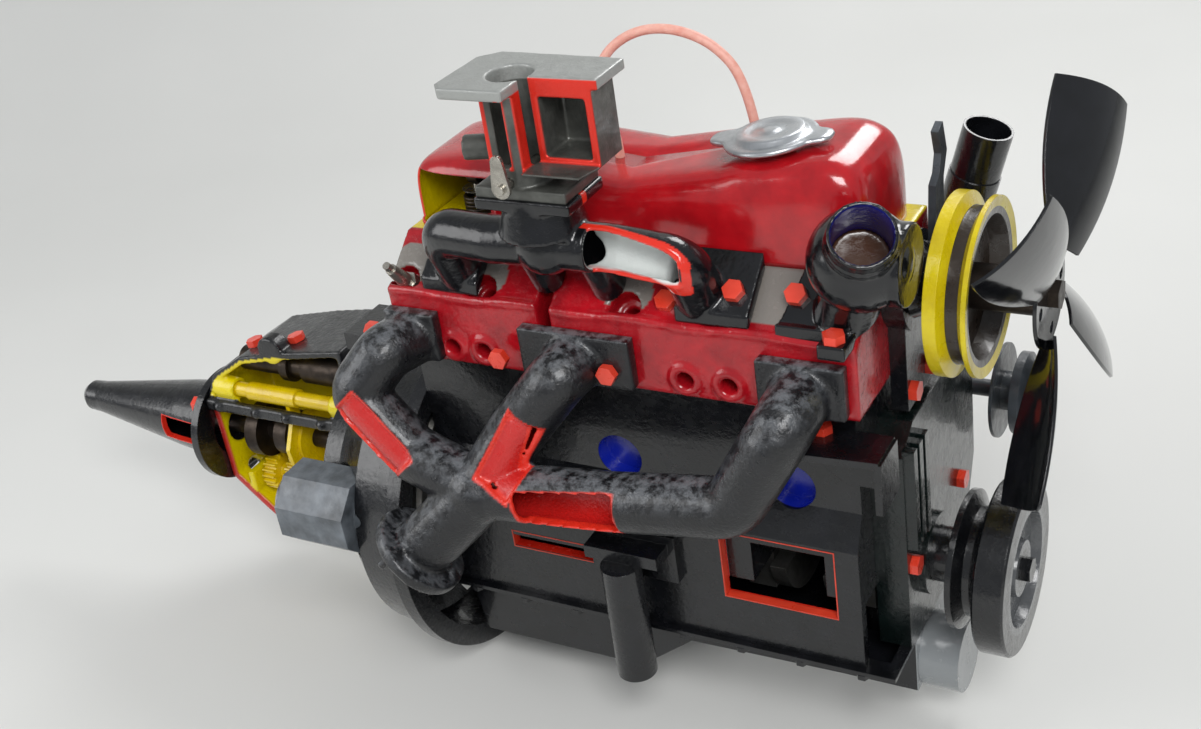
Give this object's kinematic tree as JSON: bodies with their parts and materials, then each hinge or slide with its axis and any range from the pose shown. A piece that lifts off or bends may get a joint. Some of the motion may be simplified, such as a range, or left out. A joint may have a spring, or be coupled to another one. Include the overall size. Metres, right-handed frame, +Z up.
{
  "type": "four-cylinder engine with gearbox",
  "caption": "Cut-away overhead-valve petrol engine with both manifolds on one side, a pressed fan and a gearbox behind it.",
  "frame": {"origin": "on the crankshaft's axis, midway between the two support posts, which stand 250 mm apart across the engine", "axes": "+X along the crankshaft to the fan, -Y to the side with both manifolds, +Z up along the cylinders"},
  "size_m": [1.1176, 0.4409, 0.634],
  "materials": {
    "black_paint": "gloss",
    "red_paint": "gloss",
    "yellow_paint": "gloss",
    "orange_paint": "satin",
    "grey_paint": "satin",
    "bare_steel": "satin",
    "dark_steel": "satin",
    "bare_iron": "matte",
    "bare_aluminium": "satin",
    "gasket_board": "matte",
    "pale_hose": "satin"
  },
  "bodies": {
    "engine": {"cylinder_block": "black_paint", "main_bearing_caps": "bare_iron", "oil_pan": "black_paint", "sump_bolts": "black_paint", "cylinder_head": "red_paint", "head_gasket": "gasket_board", "rocker_cover": "red_paint", "rocker_shaft": "dark_steel", "rocker_arms": "dark_steel", "valves": "bare_steel", "valve_springs": "dark_steel", "pushrods": "bare_steel", "bellhousing": "black_paint", "starter_motor": "grey_paint", "gearbox_case": "black_paint", "extension_housing": "black_paint", "control_shaft": "dark_steel", "timing_cover": "black_paint", "water_pump_body": "grey_paint", "coolant_inlet_tube": "grey_paint", "thermostat_housing": "black_paint", "exhaust_manifold": "black_paint", "intake_manifold": "black_paint", "carburettor_body": "bare_aluminium", "spark_plug": "bare_steel", "breather_hose": "pale_hose", "alternator_body": "grey_paint", "lifting_eye": "grey_paint", "accessory_bracket": "black_paint", "support_posts": "black_paint", "hex_bolts": "orange_paint"},
    "crank": {"crankshaft": "bare_iron", "crank_pulley": "grey_paint", "crank_gear": "bare_steel", "flywheel": "bare_iron"},
    "cam": {"camshaft": "bare_iron", "cam_gear": "bare_steel"},
    "pump_rotor": {"fan": "black_paint", "water_pump_pulley": "yellow_paint", "pump_shaft": "dark_steel"},
    "alternator_rotor": {"alternator_pulley": "grey_paint"},
    "throttle": {"throttle_valve": "bare_steel"},
    "filler_cap": {"oil_filler_cap": "bare_aluminium"},
    "input": {"input_shaft": "dark_steel"},
    "lay": {"layshaft": "dark_steel"},
    "output": {"output_shaft": "dark_steel"},
    "selector": {"selector_fork": "yellow_paint"},
    "fork": {"clutch_fork": "black_paint"},
    "bearing": {"release_bearing": "bare_steel"},
    "rear_rocker": {"rear_rocker_arm": "dark_steel"},
    "rear_valve_body": {"rear_valve": "bare_steel"},
    "rear_pushrod_body": {"rear_pushrod": "bare_steel"},
    "piston_body_1": {"piston_1": "bare_aluminium", "connecting_rod_1": "bare_iron"},
    "piston_body_2": {"piston_2": "bare_aluminium", "connecting_rod_2": "bare_iron"},
    "piston_body_3": {"piston_3": "bare_aluminium", "connecting_rod_3": "bare_iron"},
    "piston_body_4": {"piston_4": "bare_aluminium", "connecting_rod_4": "bare_iron"}
  },
  "joints": [
    {"name": "crank_spin", "type": "hinge", "parent": "engine", "child": "crank", "pos_m": [0, 0, 0], "axis": [1, 0, 0], "range_deg": [0, 180]},
    {"name": "cam_spin", "type": "hinge", "parent": "engine", "child": "cam", "pos_m": [0, 0.062, 0.06524], "axis": [1, 0, 0], "range_deg": [-90.5, 0]},
    {"name": "piston_1_slide", "type": "slide", "parent": "engine", "child": "piston_body_1", "axis": [0, 0, 1], "range_m": [-0.07, 0], "deforming": ["connecting_rod_1"]},
    {"name": "piston_2_slide", "type": "slide", "parent": "engine", "child": "piston_body_2", "axis": [0, 0, 1], "range_m": [0, 0.07], "deforming": ["connecting_rod_2"]},
    {"name": "piston_3_slide", "type": "slide", "parent": "engine", "child": "piston_body_3", "axis": [0, 0, 1], "range_m": [0, 0.07], "deforming": ["connecting_rod_3"]},
    {"name": "piston_4_slide", "type": "slide", "parent": "engine", "child": "piston_body_4", "axis": [0, 0, 1], "range_m": [-0.07, 0], "deforming": ["connecting_rod_4"]},
    {"name": "input_spin", "type": "hinge", "parent": "engine", "child": "input", "pos_m": [-0.3, 0, 0], "axis": [1, 0, 0], "range_deg": [0, 180.5]},
    {"name": "lay_spin", "type": "hinge", "parent": "engine", "child": "lay", "pos_m": [-0.4, 0, -0.054], "axis": [1, 0, 0], "range_deg": [-106.5, 0]},
    {"name": "output_spin", "type": "hinge", "parent": "engine", "child": "output", "pos_m": [-0.5, 0, 0], "axis": [1, 0, 0], "continuous": true},
    {"name": "selector_slide", "type": "slide", "parent": "engine", "child": "selector", "axis": [1, 0, 0], "range_m": [-0.007, 0.007]},
    {"name": "fork_swing", "type": "hinge", "parent": "engine", "child": "fork", "pos_m": [-0.2945, 0, -0.088], "axis": [0, 1, 0], "range_deg": [0, 2.5]},
    {"name": "bearing_slide", "type": "slide", "parent": "engine", "child": "bearing", "axis": [1, 0, 0], "range_m": [0, 0.0042]},
    {"name": "pump_spin", "type": "hinge", "parent": "engine", "child": "pump_rotor", "pos_m": [0.3, 0, 0.262], "axis": [1, 0, 0], "continuous": true},
    {"name": "alternator_spin", "type": "hinge", "parent": "engine", "child": "alternator_rotor", "pos_m": [0.2, 0.172, 0.062], "axis": [1, 0, 0], "continuous": true},
    {"name": "throttle_turn", "type": "hinge", "parent": "engine", "child": "throttle", "pos_m": [-0.04, -0.104, 0.38], "axis": [0, 1, 0], "range_deg": [0, 75]},
    {"name": "cap_turn", "type": "hinge", "parent": "engine", "child": "filler_cap", "pos_m": [0.12, 0, 0.373], "axis": [0, 0, 1], "range_deg": [0, 90]},
    {"name": "rocker_swing", "type": "hinge", "parent": "engine", "child": "rear_rocker", "pos_m": [-0.158, 0.034, 0.3252], "axis": [1, 0, 0], "range_deg": [0, 10]},
    {"name": "valve_slide", "type": "slide", "parent": "engine", "child": "rear_valve_body", "axis": [0, 0, -1], "range_m": [0, 0.0075], "deforming": ["valve_springs"]},
    {"name": "pushrod_slide", "type": "slide", "parent": "engine", "child": "rear_pushrod_body", "axis": [0, 0, 1], "range_m": [0, 0.005]}
  ],
  "couplings": [
    {"joint": "cam_spin", "follows": "crank_spin", "ratio": -0.5},
    {"joint": "piston_1_slide", "follows": "crank_spin", "m_per_rad": -0.02228},
    {"joint": "piston_2_slide", "follows": "crank_spin", "m_per_rad": 0.02228},
    {"joint": "piston_3_slide", "follows": "crank_spin", "m_per_rad": 0.02228},
    {"joint": "piston_4_slide", "follows": "crank_spin", "m_per_rad": -0.02228},
    {"joint": "input_spin", "follows": "crank_spin", "ratio": 1},
    {"joint": "lay_spin", "follows": "crank_spin", "ratio": -0.58824},
    {"joint": "bearing_slide", "follows": "fork_swing", "m_per_rad": 0.0925},
    {"joint": "valve_slide", "follows": "rocker_swing", "m_per_rad": 0.042},
    {"joint": "pushrod_slide", "follows": "rocker_swing", "m_per_rad": 0.027}
  ]
}
